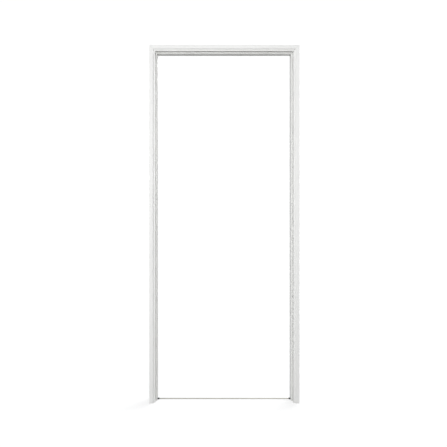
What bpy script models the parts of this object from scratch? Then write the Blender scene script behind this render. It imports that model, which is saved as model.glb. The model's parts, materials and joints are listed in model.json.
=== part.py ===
"""A three-sided door frame of extruded uPVC bar, mitred at the two top corners.

One multi-chamber bar goes up the left side, along the head and down the right side. Steel tubes stiffen it,
square-tube brackets hold its corners, a bulb seal is pressed into its stop, and a flat bar ties its feet.

World frame: origin on the floor at the middle of the frame, +X to the right, +Y away from the room it faces,
+Z up. Each bar is drawn in its own run frame: x goes from the wall side into the opening, y from the moulded
front face to the back, and z along the bar.
"""

import math
from collections import namedtuple

import bmesh
import bpy

for old_object in list(bpy.data.objects):
    bpy.data.objects.remove(old_object, do_unlink=True)

# Whole frame
FRAME_WIDTH = 0.880
FRAME_HEIGHT = 2.100
FRAME_DEPTH = 0.100

# Moulded front face, from the wall side inwards
FLAT_BAND = 0.020
OGEE_WIDTH = 0.008
OGEE_DROP = 0.006
BEAD_WIDTH = 0.006

# Rebate for the leaf, and the stop that the leaf shuts against
REBATE_DEPTH = 0.042
STOP_WIDTH = 0.010

# Walls of the bar
OUTER_WALL = 0.0024
INNER_WEB = 0.0016
EDGE_RADIUS = 0.0008
BEAD_RADIUS = 0.0012
NOSE_RADIUS = 0.0012
REBATE_RADIUS = 0.0005
CHAMBER_RADIUS = 0.0005

# Dovetail channels in the wall side
CHANNEL_MOUTH = 0.010
CHANNEL_UNDERCUT = 0.0010
CHANNEL_DEPTH = 0.0032

# Groove in the stop face, and the seal pressed into it
GROOVE_MOUTH = 0.0030
GROOVE_UNDERCUT = 0.0007
GROOVE_LIP = 0.0012
GROOVE_DEPTH = 0.0050
SEAL_WIDTH = 0.0056
SEAL_HEIGHT = 0.0034
SEAL_WALL = 0.0010

# Steel inside the bar
STEEL_DEPTH = 0.025
STEEL_WALL = 0.0015
STEEL_RADIUS = 0.0022
STEEL_FOOT_SETBACK = 0.010
STEEL_MITRE_SETBACK = 0.010

# Square tube of the corner brackets
BRACKET_TUBE = 0.015
BRACKET_WALL = 0.0015
BRACKET_RADIUS = 0.0014
BRACKET_LEG = 0.075
BRACKET_SCREW_INSET = 0.020

# Screws
SHANK_RADIUS = 0.0021
DRILL_TIP = 0.0045
PAN_HEAD_RADIUS = 0.0042
PAN_HEAD_HEIGHT = 0.0024
STEEL_SCREW_LENGTH = 0.016
FLAT_HEAD_RADIUS = 0.0038
BRACKET_SCREW_LENGTH = 0.013
STEEL_SCREW_INSET = 0.100
STEEL_SCREW_SPACING = 0.480
LEAST_SPACE_COUNT = 2

# Bar that ties the feet, and the moulded clips that hold its ends
TIE_BAR_WIDTH = 0.010
TIE_BAR_THICKNESS = 0.0025
TIE_BAR_RADIUS = 0.0006
CLIP_LENGTH = 0.010
CLIP_END_WALL = 0.002
CLIP_WALL = 0.0015
CLIP_SHOULDER = 0.002
CLIP_HOOK = 0.0025
CLIP_EDGE = 0.0004

# Gap left between pieces that touch
GAP = 0.0003

# How finely curves are drawn
OGEE_STEPS = 12
CORNER_STEPS = 3
BULB_STEPS = 14
SCREW_STEPS = 16
DOME_STEPS = 4
BEVEL_STEPS = 2
SHARP_ANGLE = math.radians(35)

# A fillet takes at most this share of the shorter side beside it
FILLET_SHARE = 0.45

# How far a cutter reaches past the surface it cuts
CUT_MARGIN = 0.001

# Places across the bar
REBATE_FACE = FLAT_BAND + OGEE_WIDTH + BEAD_WIDTH
STOP_FACE = REBATE_FACE + STOP_WIDTH
BRACKET_ROOM = BRACKET_TUBE + 2 * GAP
BRACKET_ROOM_END = OUTER_WALL + BRACKET_ROOM
CHANNEL_BACK = CHANNEL_DEPTH + OUTER_WALL
SPINE_FACE = REBATE_FACE - OUTER_WALL

# Places from the front face to the back
STEEL_ROOM_START = OUTER_WALL + BRACKET_ROOM + INNER_WEB
STEEL_ROOM_END = STEEL_ROOM_START + STEEL_DEPTH + 2 * GAP
MIDDLE_ROOM_START = STEEL_ROOM_END + INNER_WEB
REAR_ROOM_START = FRAME_DEPTH - OUTER_WALL - BRACKET_ROOM
MIDDLE_ROOM_END = REAR_ROOM_START - INNER_WEB
STOP_ROOM_START = REBATE_DEPTH + GROOVE_DEPTH + OUTER_WALL
STOP_ROOM_END = FRAME_DEPTH - OUTER_WALL
STEEL_CHANNEL = (STEEL_ROOM_START + STEEL_ROOM_END) / 2
MIDDLE_CHANNEL = (MIDDLE_ROOM_START + MIDDLE_ROOM_END) / 2
FRONT_BRACKET = OUTER_WALL + BRACKET_ROOM / 2
REAR_BRACKET = REAR_ROOM_START + BRACKET_ROOM / 2
GROOVE_CENTRE = REBATE_FACE + STOP_WIDTH / 2
TIE_BAR_CENTRE = (STOP_ROOM_START + STOP_ROOM_END) / 2

# Each bar is cut back so that a mitred joint has one gap, measured square to the joint
MITRE_BACK = GAP / math.sqrt(2)

part = bpy.data.collections.new("upvc_door_frame")
cutters = bpy.data.collections.new("cutters")
bpy.context.scene.collection.children.link(part)
bpy.context.scene.collection.children.link(cutters)

Run = namedtuple("Run", "name guide length start_mitred end_mitred")


def make_material(name, colour, roughness, metallic=0.0):
    """A plain Principled material; colour is linear red, green and blue."""
    material = bpy.data.materials.new(name)
    material.use_nodes = True
    shader = material.node_tree.nodes["Principled BSDF"]
    shader.inputs["Base Color"].default_value = (*colour, 1.0)
    shader.inputs["Roughness"].default_value = roughness
    shader.inputs["Metallic"].default_value = metallic
    return material


def make_run(name, location, turn, length, start_mitred, end_mitred):
    """An empty at the wall-side front corner of a bar, which carries all that belongs to that bar."""
    guide = bpy.data.objects.new("guide_" + name, None)
    guide.location = location
    guide.rotation_euler = (0, turn, 0)
    guide.empty_display_size = 0.1
    part.objects.link(guide)
    return Run(name, guide, length, start_mitred, end_mitred)


def put(obj, run, location=(0, 0, 0), rotation=(0, 0, 0), cutter=False):
    """Places an object in a bar's run frame."""
    obj.parent = run.guide
    obj.location = location
    obj.rotation_euler = rotation
    if cutter:
        cutters.objects.link(obj)
        obj.hide_render = True
        obj.display_type = "WIRE"
    else:
        part.objects.link(obj)
    return obj


def rounded(corners):
    """Turns corners (x, y, radius) into an outline whose corners are arcs."""
    outline = []
    for index, (x, y, radius) in enumerate(corners):
        if radius == 0:
            outline.append((x, y))
            continue
        before = corners[index - 1]
        after = corners[(index + 1) % len(corners)]
        to_before = math.atan2(before[1] - y, before[0] - x)
        to_after = math.atan2(after[1] - y, after[0] - x)
        spread = (to_after - to_before + math.pi) % (2 * math.pi) - math.pi
        half = abs(spread) / 2
        shortest = min(math.hypot(before[0] - x, before[1] - y), math.hypot(after[0] - x, after[1] - y))
        radius = min(radius, FILLET_SHARE * shortest * math.tan(half))
        middle = to_before + spread / 2
        centre_x = x + radius / math.sin(half) * math.cos(middle)
        centre_y = y + radius / math.sin(half) * math.sin(middle)
        sweep = math.copysign(math.pi - 2 * half, -spread)
        first = middle + math.pi - sweep / 2
        for step in range(CORNER_STEPS + 1):
            angle = first + sweep * step / CORNER_STEPS
            outline.append((centre_x + radius * math.cos(angle), centre_y + radius * math.sin(angle)))
    return outline


def rectangle(x_low, y_low, x_high, y_high, radius):
    """An outline with four rounded corners."""
    corners = [(x_low, y_low), (x_high, y_low), (x_high, y_high), (x_low, y_high)]
    return rounded([(x, y, radius) for x, y in corners])


def front_depth(x):
    """Depth of the moulded face at x: a flat band, half a cosine wave down, then the bead."""
    share = min(max((x - FLAT_BAND) / OGEE_WIDTH, 0.0), 1.0)
    return OGEE_DROP * (1 - math.cos(math.pi * share)) / 2


def channel_corners(centre):
    """A dovetail channel in the wall side, read from the back face towards the front."""
    mouth = CHANNEL_MOUTH / 2
    floor = mouth + CHANNEL_UNDERCUT
    return [
        (0, centre + mouth, 0),
        (CHANNEL_DEPTH, centre + floor, 0),
        (CHANNEL_DEPTH, centre - floor, 0),
        (0, centre - mouth, 0),
    ]


def member_outline():
    """Outside of the bar's section."""
    ogee = [FLAT_BAND + OGEE_WIDTH * step / OGEE_STEPS for step in range(OGEE_STEPS + 1)]
    mouth = GROOVE_MOUTH / 2
    wide = mouth + GROOVE_UNDERCUT
    lip = REBATE_DEPTH + GROOVE_LIP
    floor = REBATE_DEPTH + GROOVE_DEPTH
    corners = [(0, 0, EDGE_RADIUS)]
    corners += [(x, front_depth(x), 0) for x in ogee]
    corners += [
        (REBATE_FACE, OGEE_DROP, BEAD_RADIUS),
        (REBATE_FACE, REBATE_DEPTH, REBATE_RADIUS),
        (GROOVE_CENTRE - mouth, REBATE_DEPTH, 0),
        (GROOVE_CENTRE - mouth, lip, 0),
        (GROOVE_CENTRE - wide, lip, 0),
        (GROOVE_CENTRE - wide, floor, 0),
        (GROOVE_CENTRE + wide, floor, 0),
        (GROOVE_CENTRE + wide, lip, 0),
        (GROOVE_CENTRE + mouth, lip, 0),
        (GROOVE_CENTRE + mouth, REBATE_DEPTH, 0),
        (STOP_FACE, REBATE_DEPTH, NOSE_RADIUS),
        (STOP_FACE, FRAME_DEPTH, NOSE_RADIUS),
        (0, FRAME_DEPTH, EDGE_RADIUS),
    ]
    corners += channel_corners(MIDDLE_CHANNEL)
    corners += channel_corners(STEEL_CHANNEL)
    return rounded(corners)


def moulding_chamber():
    """Chamber behind the ogee and bead, whose front keeps one wall from the moulded face."""
    x_low = BRACKET_ROOM_END + INNER_WEB
    wall = OUTER_WALL * math.hypot(OGEE_WIDTH, OGEE_DROP) / OGEE_WIDTH
    steps = [x_low + (SPINE_FACE - x_low) * step / OGEE_STEPS for step in range(OGEE_STEPS + 1)]
    front = [(x, front_depth(x) + wall, 0) for x in steps]
    back = [
        (SPINE_FACE, BRACKET_ROOM_END, CHAMBER_RADIUS),
        (x_low, BRACKET_ROOM_END, CHAMBER_RADIUS),
    ]
    return rounded(front + back)


def channel_chamber(y_low, y_high, centre):
    """Chamber behind a wall-side channel, with a pocket on each side of it where a web's width is free."""
    shoulder = CHANNEL_MOUTH / 2 + CHANNEL_UNDERCUT + OUTER_WALL
    pocket = centre - shoulder - y_low
    if pocket <= INNER_WEB:
        return rectangle(CHANNEL_BACK, y_low, SPINE_FACE, y_high, CHAMBER_RADIUS)
    corners = [
        (OUTER_WALL, y_low),
        (SPINE_FACE, y_low),
        (SPINE_FACE, y_high),
        (OUTER_WALL, y_high),
        (OUTER_WALL, centre + shoulder),
        (CHANNEL_BACK, centre + shoulder),
        (CHANNEL_BACK, centre - shoulder),
        (OUTER_WALL, centre - shoulder),
    ]
    return rounded([(x, y, CHAMBER_RADIUS) for x, y in corners])


def member_section():
    """The bar's outline and its seven chambers."""
    inner = BRACKET_ROOM_END + INNER_WEB
    return [
        member_outline(),
        rectangle(OUTER_WALL, OUTER_WALL, BRACKET_ROOM_END, BRACKET_ROOM_END, CHAMBER_RADIUS),
        moulding_chamber(),
        channel_chamber(STEEL_ROOM_START, STEEL_ROOM_END, STEEL_CHANNEL),
        channel_chamber(MIDDLE_ROOM_START, MIDDLE_ROOM_END, MIDDLE_CHANNEL),
        rectangle(OUTER_WALL, REAR_ROOM_START, BRACKET_ROOM_END, STOP_ROOM_END, CHAMBER_RADIUS),
        rectangle(inner, REAR_ROOM_START, SPINE_FACE, STOP_ROOM_END, CHAMBER_RADIUS),
        rectangle(SPINE_FACE + INNER_WEB, STOP_ROOM_START, STOP_FACE - OUTER_WALL, STOP_ROOM_END,
                  CHAMBER_RADIUS),
    ]


def steel_section():
    """Square tube that fills the steel chamber, less the gap on each side."""
    x_low = CHANNEL_BACK + GAP
    y_low = STEEL_ROOM_START + GAP
    x_high = SPINE_FACE - GAP
    y_high = STEEL_ROOM_END - GAP
    wall = STEEL_WALL
    inner_radius = max(STEEL_RADIUS - wall, CHAMBER_RADIUS)
    return [
        rectangle(x_low, y_low, x_high, y_high, STEEL_RADIUS),
        rectangle(x_low + wall, y_low + wall, x_high - wall, y_high - wall, inner_radius),
    ]


def seal_section():
    """Barbed stem in the groove, and a low hollow bulb, half an ellipse, on the stop face."""
    base = REBATE_DEPTH - GAP
    barb_top = REBATE_DEPTH + GROOVE_LIP + GAP
    barb_end = REBATE_DEPTH + GROOVE_DEPTH - GAP
    stem = GROOVE_MOUTH / 2 - GAP
    barb = stem + GROOVE_UNDERCUT
    half = SEAL_WIDTH / 2
    rise = SEAL_HEIGHT - GAP
    stem_side = [(stem, base), (stem, barb_top), (barb, barb_top), (stem / 2, barb_end)]
    right = [(GROOVE_CENTRE + x, y) for x, y in stem_side]
    left = [(GROOVE_CENTRE - x, y) for x, y in reversed(stem_side)]
    bulb = []
    hollow = []
    for step in range(BULB_STEPS + 1):
        angle = math.pi * step / BULB_STEPS
        bulb.append((GROOVE_CENTRE - half * math.cos(angle), base - rise * math.sin(angle)))
        hollow.append((
            GROOVE_CENTRE - (half - SEAL_WALL) * math.cos(angle),
            base - SEAL_WALL - (rise - 2 * SEAL_WALL) * math.sin(angle),
        ))
    return [bulb + right + left, hollow]


def extruded(name, section, material):
    """Mesh of a filled section, one metre long and centred on its own plane."""
    curve = bpy.data.curves.new(name, "CURVE")
    curve.dimensions = "2D"
    curve.fill_mode = "BOTH"
    curve.extrude = 0.5
    for outline in section:
        spline = curve.splines.new("POLY")
        spline.points.add(len(outline) - 1)
        spline.use_cyclic_u = True
        for point, (x, y) in zip(spline.points, outline):
            point.co = (x, y, 0.0, 1.0)
    drawn = bpy.data.objects.new(name + "_drawn", curve)
    part.objects.link(drawn)
    evaluated = drawn.evaluated_get(bpy.context.evaluated_depsgraph_get())
    mesh = bpy.data.meshes.new_from_object(evaluated)
    bpy.data.objects.remove(drawn, do_unlink=True)
    bpy.data.curves.remove(curve)
    shape = bmesh.new()
    shape.from_mesh(mesh)
    bmesh.ops.remove_doubles(shape, verts=shape.verts, dist=0.00001)
    caps = {face for face in shape.faces if len({vertex.co.z for vertex in face.verts}) == 1}
    inside_caps = [edge for edge in shape.edges if caps.issuperset(edge.link_faces)]
    bmesh.ops.beautify_fill(shape, faces=list(caps), edges=inside_caps, method="ANGLE")
    bmesh.ops.recalc_face_normals(shape, faces=shape.faces)
    shape.to_mesh(mesh)
    shape.free()
    mesh.name = name
    mesh.materials.clear()
    mesh.materials.append(material)
    return mesh


def add_bar(name, section, run, start, end, mitred, material):
    """A length of section along a run; a mitred end slides back by the distance from the wall side."""
    mesh = extruded(name, section, material)
    for vertex in mesh.vertices:
        if vertex.co.z < 0:
            vertex.co.z = start + (vertex.co.x if mitred and run.start_mitred else 0)
        else:
            vertex.co.z = end - (vertex.co.x if mitred and run.end_mitred else 0)
    mesh.shade_smooth()
    mesh.set_sharp_from_angle(angle=SHARP_ANGLE)
    return put(bpy.data.objects.new(name, mesh), run)


def add_slab(name, outline, thickness, run, location, rotation, material, cutter=False):
    """A flat outline given a thickness, centred on its own plane."""
    mesh = extruded(name, [outline], material)
    for vertex in mesh.vertices:
        vertex.co.z = math.copysign(thickness / 2, vertex.co.z)
    return put(bpy.data.objects.new(name, mesh), run, location, rotation, cutter)


def add_box_cutter(name, low, high, run):
    """A box between two corners in the run frame, used only to cut."""
    shape = bmesh.new()
    bmesh.ops.create_cube(shape, size=1.0)
    for vertex in shape.verts:
        vertex.co = [low[axis] if vertex.co[axis] < 0 else high[axis] for axis in range(3)]
    mesh = bpy.data.meshes.new(name)
    shape.to_mesh(mesh)
    shape.free()
    return put(bpy.data.objects.new(name, mesh), run, cutter=True)


def turned_mesh(name, profile, material=None):
    """Edges of a profile (radius, height), read from the top of the axis down its outer side."""
    mesh = bpy.data.meshes.new(name)
    points = [(radius, 0.0, height) for radius, height in profile]
    mesh.from_pydata(points, [(index, index + 1) for index in range(len(points) - 1)], [])
    if material:
        mesh.materials.append(material)
    return mesh


def add_turned(name, mesh, run, location, cutter=False):
    """A profile turned about an axis that points out of the wall side."""
    obj = bpy.data.objects.new(name, mesh)
    turn = obj.modifiers.new("turn", "SCREW")
    turn.steps = SCREW_STEPS
    turn.render_steps = SCREW_STEPS
    turn.use_merge_vertices = True
    turn.merge_threshold = 0.00001
    turn.use_smooth_shade = True
    return put(obj, run, location, (0, -math.pi / 2, 0), cutter)


def round_edges(slab, radius, stays_square):
    """Rounds a slab's outer corners, but not the edges for which stays_square(start, end) is true."""
    shape = bmesh.new()
    shape.from_mesh(slab.data)
    weights = shape.edges.layers.float.new("bevel_weight_edge")
    for edge in shape.edges:
        is_corner = edge.is_convex and edge.calc_face_angle() > SHARP_ANGLE
        edge[weights] = float(is_corner and not stays_square(*[vertex.co for vertex in edge.verts]))
    shape.to_mesh(slab.data)
    shape.free()
    bevel = slab.modifiers.new("rounded_edges", "BEVEL")
    bevel.width = radius
    bevel.segments = BEVEL_STEPS
    bevel.limit_method = "WEIGHT"


def cut(target, cutter):
    """Takes the cutter out of the target; all of a target's cutters go in one Boolean."""
    group_name = "cuts_in_" + target.name
    group = bpy.data.collections.get(group_name)
    if group is None:
        group = bpy.data.collections.new(group_name)
        cutters.children.link(group)
        difference = target.modifiers.new("cuts", "BOOLEAN")
        difference.operation = "DIFFERENCE"
        difference.solver = "EXACT"
        difference.operand_type = "COLLECTION"
        difference.collection = group
    group.objects.link(cutter)


upvc = make_material("white_upvc", (0.86, 0.86, 0.85), 0.34)
galvanised = make_material("galvanised_steel", (0.52, 0.54, 0.56), 0.42, 0.9)
zinc = make_material("zinc_plated_steel", (0.62, 0.62, 0.60), 0.30, 0.95)
rubber = make_material("off_white_seal_rubber", (0.86, 0.86, 0.85), 0.62)
nylon = make_material("black_nylon", (0.022, 0.022, 0.024), 0.48)

half_width = FRAME_WIDTH / 2
half_depth = FRAME_DEPTH / 2
left_run = make_run("left", (-half_width, -half_depth, 0), 0, FRAME_HEIGHT, False, True)
head_run = make_run("head", (-half_width, -half_depth, FRAME_HEIGHT), math.pi / 2, FRAME_WIDTH, True, True)
right_run = make_run("right", (half_width, -half_depth, FRAME_HEIGHT), math.pi, FRAME_HEIGHT, True, False)

# uPVC bars: both jambs and the head are one section, cut square at the feet and at 45 degrees at the corners
members = {}
for run, member_name in ((left_run, "jamb_left"), (head_run, "head"), (right_run, "jamb_right")):
    members[run.name] = add_bar(
        member_name,
        member_section(),
        run,
        MITRE_BACK if run.start_mitred else 0.0,
        run.length - (MITRE_BACK if run.end_mitred else 0.0),
        True,
        upvc,
    )

# Bulb seals: one length to each bar, mitred with it
for run in (left_run, head_run, right_run):
    add_bar(
        "seal_" + run.name,
        seal_section(),
        run,
        MITRE_BACK if run.start_mitred else GAP,
        run.length - (MITRE_BACK if run.end_mitred else GAP),
        True,
        rubber,
    )

# Steel tubes, cut square short of the mitres and clear of the floor, and the screws that hold them
pan_dome = [
    (PAN_HEAD_RADIUS * math.sin(math.pi / 2 * step / DOME_STEPS),
     PAN_HEAD_HEIGHT * math.cos(math.pi / 2 * step / DOME_STEPS))
    for step in range(DOME_STEPS)
]
pan_head_screw = turned_mesh(
    "pan_head_screw",
    pan_dome + [
        (PAN_HEAD_RADIUS, 0),
        (SHANK_RADIUS, 0),
        (SHANK_RADIUS, DRILL_TIP - STEEL_SCREW_LENGTH),
        (0, -STEEL_SCREW_LENGTH),
    ],
    zinc,
)
hole_radius = SHANK_RADIUS + GAP
steel_hole_depth = OUTER_WALL + GAP + STEEL_WALL + CUT_MARGIN
steel_hole = turned_mesh(
    "steel_screw_hole",
    [(0, CUT_MARGIN), (hole_radius, CUT_MARGIN), (hole_radius, -steel_hole_depth), (0, -steel_hole_depth)],
)
for run in (left_run, head_run, right_run):
    mitre_end = SPINE_FACE + STEEL_MITRE_SETBACK
    start = mitre_end if run.start_mitred else STEEL_FOOT_SETBACK
    end = run.length - (mitre_end if run.end_mitred else STEEL_FOOT_SETBACK)
    steel = add_bar("reinforcement_" + run.name, steel_section(), run, start, end, False, galvanised)
    screwed_length = end - start - 2 * STEEL_SCREW_INSET
    spaces = max(math.ceil(screwed_length / STEEL_SCREW_SPACING), LEAST_SPACE_COUNT)
    for index in range(spaces + 1):
        number = str(index + 1)
        along = start + STEEL_SCREW_INSET + screwed_length * index / spaces
        hole = add_turned(
            "hole_" + run.name + "_" + number,
            steel_hole,
            run,
            (CHANNEL_DEPTH, STEEL_CHANNEL, along),
            cutter=True,
        )
        cut(members[run.name], hole)
        cut(steel, hole)
        add_turned(
            "reinforcement_screw_" + run.name + "_" + number,
            pan_head_screw,
            run,
            (CHANNEL_DEPTH - GAP, STEEL_CHANNEL, along),
        )

# Corner brackets: two hollow square-tube angles in each mitre, each leg held by a countersunk screw
flat_head_screw = turned_mesh(
    "flat_head_screw",
    [
        (0, 0),
        (FLAT_HEAD_RADIUS, 0),
        (SHANK_RADIUS, SHANK_RADIUS - FLAT_HEAD_RADIUS),
        (SHANK_RADIUS, DRILL_TIP - BRACKET_SCREW_LENGTH),
        (0, -BRACKET_SCREW_LENGTH),
    ],
    zinc,
)
bracket_hole_depth = OUTER_WALL + GAP + BRACKET_WALL + CUT_MARGIN
bracket_hole = turned_mesh(
    "bracket_screw_hole",
    [
        (0, CUT_MARGIN),
        (FLAT_HEAD_RADIUS + GAP + CUT_MARGIN, CUT_MARGIN),
        (hole_radius, SHANK_RADIUS - FLAT_HEAD_RADIUS),
        (hole_radius, -bracket_hole_depth),
        (0, -bracket_hole_depth),
    ],
)


def elbow(inset, leg):
    """An angle of bar in a corner: inset from the tube's outside all round, each leg ending at leg."""
    near = OUTER_WALL + GAP + inset
    far = OUTER_WALL + GAP + BRACKET_TUBE - inset
    reach = OUTER_WALL + GAP + leg
    return [(near, -near), (reach, -near), (reach, -far), (far, -far), (far, -reach), (near, -reach)]


def add_corner_bracket(corner, before, after, place, depth):
    """A bracket in the corner where one run ends and the next starts, with a screw in each leg."""
    name = "corner_bracket_" + corner + "_" + place
    at_corner = (0, depth, before.length)
    upright = (math.pi / 2, 0, 0)
    bracket = add_slab(
        name, elbow(0, BRACKET_LEG), BRACKET_TUBE, before, at_corner, upright, galvanised,
    )
    leg_end = max(vertex.co.x for vertex in bracket.data.vertices)
    round_edges(
        bracket,
        BRACKET_RADIUS,
        lambda start, end: start.x == end.x == leg_end or start.y == end.y == -leg_end,
    )
    bore = add_slab(
        "bore_" + corner + "_" + place,
        elbow(BRACKET_WALL, BRACKET_LEG + CUT_MARGIN),
        BRACKET_TUBE - 2 * BRACKET_WALL,
        before,
        at_corner,
        upright,
        galvanised,
        cutter=True,
    )
    cut(bracket, bore)
    from_corner = OUTER_WALL + GAP + BRACKET_LEG - BRACKET_SCREW_INSET
    for run, along in ((before, before.length - from_corner), (after, from_corner)):
        leg_name = corner + "_" + place + "_" + ("head" if run is head_run else "jamb")
        hole = add_turned("hole_" + leg_name, bracket_hole, run, (0, depth, along), cutter=True)
        cut(members[run.name], hole)
        cut(bracket, hole)
        add_turned("bracket_screw_" + leg_name, flat_head_screw, run, (0, depth, along))


for corner, before, after in (("left", left_run, head_run), ("right", head_run, right_run)):
    add_corner_bracket(corner, before, after, "front", FRONT_BRACKET)
    add_corner_bracket(corner, before, after, "back", REAR_BRACKET)

# Tie bar and its clips: each clip slides up into a notch in the foot and is caught by its inner flange
clip_width = TIE_BAR_WIDTH + 2 * (GAP + CLIP_WALL)
clip_height = TIE_BAR_THICKNESS + 2 * (GAP + CLIP_WALL)
clip_middle = GAP + clip_height / 2
notch_inner = STOP_FACE - OUTER_WALL
block_start = STOP_FACE + GAP
block_end = block_start + CLIP_LENGTH
flange_end = notch_inner - GAP
slot_start = block_start + CLIP_END_WALL
half_clip = clip_width / 2
half_neck = half_clip - CLIP_SHOULDER
half_notch = half_neck + GAP
half_slot = TIE_BAR_WIDTH / 2 + GAP
clip_half_outline = [
    (flange_end - CLIP_HOOK, half_clip),
    (flange_end, half_clip),
    (flange_end, half_neck),
    (block_start, half_neck),
    (block_start, half_clip),
    (block_end, half_clip),
]
clip_outline = clip_half_outline + [(x, -y) for x, y in reversed(clip_half_outline)]


def add_tie_bar_clip(run, height_at):
    """One clip; height_at turns a height above the floor into a place along the run."""
    clip = add_slab(
        "tie_bar_clip_" + run.name,
        clip_outline,
        clip_height,
        run,
        (0, TIE_BAR_CENTRE, height_at(clip_middle)),
        (0, 0, 0),
        nylon,
    )
    round_edges(clip, CLIP_EDGE, lambda start, end: False)
    slot_ends = sorted(height_at(clip_middle + side * (TIE_BAR_THICKNESS / 2 + GAP)) for side in (-1, 1))
    slot = add_box_cutter(
        "slot_" + run.name,
        (slot_start, TIE_BAR_CENTRE - half_slot, slot_ends[0]),
        (block_end + CUT_MARGIN, TIE_BAR_CENTRE + half_slot, slot_ends[1]),
        run,
    )
    cut(clip, slot)
    notch_ends = sorted((height_at(-CUT_MARGIN), height_at(clip_height + 2 * GAP)))
    notch = add_box_cutter(
        "notch_" + run.name,
        (notch_inner - CUT_MARGIN, TIE_BAR_CENTRE - half_notch, notch_ends[0]),
        (STOP_FACE + CUT_MARGIN, TIE_BAR_CENTRE + half_notch, notch_ends[1]),
        run,
    )
    cut(members[run.name], notch)


add_tie_bar_clip(left_run, lambda height: height)
add_tie_bar_clip(right_run, lambda height: FRAME_HEIGHT - height)

tie_bar_half = half_width - slot_start - GAP
half_bar = TIE_BAR_WIDTH / 2
half_thick = TIE_BAR_THICKNESS / 2
tie_bar = bpy.data.objects.new(
    "tie_bar",
    extruded("tie_bar", [rectangle(-half_bar, -half_thick, half_bar, half_thick, TIE_BAR_RADIUS)], galvanised),
)
for vertex in tie_bar.data.vertices:
    vertex.co.z = math.copysign(tie_bar_half, vertex.co.z)
tie_bar.location = (0, TIE_BAR_CENTRE - half_depth, clip_middle)
tie_bar.rotation_euler = (math.pi / 2, 0, math.pi / 2)
part.objects.link(tie_bar)

# Flat lands keep their own shading where they run into a rounded edge
for obj in part.objects:
    if obj.type == "MESH" and any(face.use_smooth for face in obj.data.polygons):
        obj.modifiers.new("flat_lands", "WEIGHTED_NORMAL").keep_sharp = True
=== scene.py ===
"""Looks of a white uPVC door frame: mitred bars, seals, steel tubes, screws, brackets and a tie bar.

The frame stands on the floor with its moulded front face towards -Y, and +Z is up. Lengths are in metres.
"""

import json

import bpy
import numpy as np
from mathutils import Matrix, Vector
from mathutils.geometry import delaunay_2d_cdt

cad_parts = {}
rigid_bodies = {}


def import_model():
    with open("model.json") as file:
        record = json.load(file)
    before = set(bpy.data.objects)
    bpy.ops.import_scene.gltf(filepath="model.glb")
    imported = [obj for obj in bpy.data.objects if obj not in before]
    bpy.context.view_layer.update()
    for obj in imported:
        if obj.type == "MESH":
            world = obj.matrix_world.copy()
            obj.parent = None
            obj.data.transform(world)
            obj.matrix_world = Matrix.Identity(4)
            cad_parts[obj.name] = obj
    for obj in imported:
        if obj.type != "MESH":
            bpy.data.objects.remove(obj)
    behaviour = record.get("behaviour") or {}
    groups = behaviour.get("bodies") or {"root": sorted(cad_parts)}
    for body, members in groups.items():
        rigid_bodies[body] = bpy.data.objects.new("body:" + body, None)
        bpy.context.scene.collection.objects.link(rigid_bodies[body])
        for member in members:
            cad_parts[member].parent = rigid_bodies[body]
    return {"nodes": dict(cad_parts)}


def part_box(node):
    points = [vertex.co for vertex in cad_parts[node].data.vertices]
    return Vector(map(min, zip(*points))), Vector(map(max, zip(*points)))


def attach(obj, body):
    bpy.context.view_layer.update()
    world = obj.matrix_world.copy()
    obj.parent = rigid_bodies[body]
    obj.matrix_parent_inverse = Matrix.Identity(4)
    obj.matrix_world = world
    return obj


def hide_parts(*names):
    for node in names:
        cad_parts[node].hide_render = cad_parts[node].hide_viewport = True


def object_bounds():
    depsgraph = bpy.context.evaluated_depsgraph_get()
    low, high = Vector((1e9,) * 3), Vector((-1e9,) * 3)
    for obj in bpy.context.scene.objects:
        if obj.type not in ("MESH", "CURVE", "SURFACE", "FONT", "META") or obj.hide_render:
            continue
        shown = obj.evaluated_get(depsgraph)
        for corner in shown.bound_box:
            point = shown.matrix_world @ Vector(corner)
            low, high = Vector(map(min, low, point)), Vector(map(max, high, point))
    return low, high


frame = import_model()
solid_box = [list(corner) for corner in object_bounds()]

# Camera
# The picture is taken level and square to the frame, from a little left of its middle and well below
# its head. The lens is moved sideways and down in its mount, so that upright lines stay upright.
CAMERA_PLACE = (-0.1015, -3.52, 1.29)
PICTURE_SIZE = 447
VANISHING_COLUMN = 207.0
HORIZON_ROW = 183.2
FOCAL_PIXELS = 592.7
SENSOR_WIDTH_MM = 36.0

camera_data = bpy.data.cameras.new("studio_camera")
camera_data.sensor_width = SENSOR_WIDTH_MM
camera_data.lens = FOCAL_PIXELS / PICTURE_SIZE * SENSOR_WIDTH_MM
camera_data.shift_x = 0.5 - VANISHING_COLUMN / PICTURE_SIZE
camera_data.shift_y = HORIZON_ROW / PICTURE_SIZE - 0.5
camera = bpy.data.objects.new("studio_camera", camera_data)
camera.location = CAMERA_PLACE
camera.rotation_euler = (np.pi / 2, 0, 0)
bpy.context.scene.collection.objects.link(camera)
bpy.context.scene.camera = camera
bpy.context.scene.view_settings.view_transform = "Standard"

# Lamps
# Large soft boxes stand round the frame, each aimed at the middle of the doorway. Those in front light the
# face, most of all near the head, and the wide high one behind lights the inner sides, the back and the top.
# Each row gives a lamp's place, the height that it is aimed at, its width and its watts.
LAMPS = {
    "front_box": ((0.0, -4.8, 1.3), 1.05, 2.6, 40.0),
    "front_left_box": ((-1.8, -4.6, 2.1), 1.2, 2.2, 21.0),
    "head_box": ((0.2, -4.2, 2.2), 2.1, 1.6, 56.0),
    "low_left_box": ((-2.6, -2.4, 0.8), 0.9, 1.6, 18.0),
    "left_box": ((-4.0, -1.0, 1.8), 1.2, 3.0, 30.0),
    "right_box": ((4.0, -1.0, 1.8), 1.2, 3.0, 20.0),
    "high_back_box": ((2.2, 3.4, 4.4), 1.2, 4.2, 176.0),
}

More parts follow.
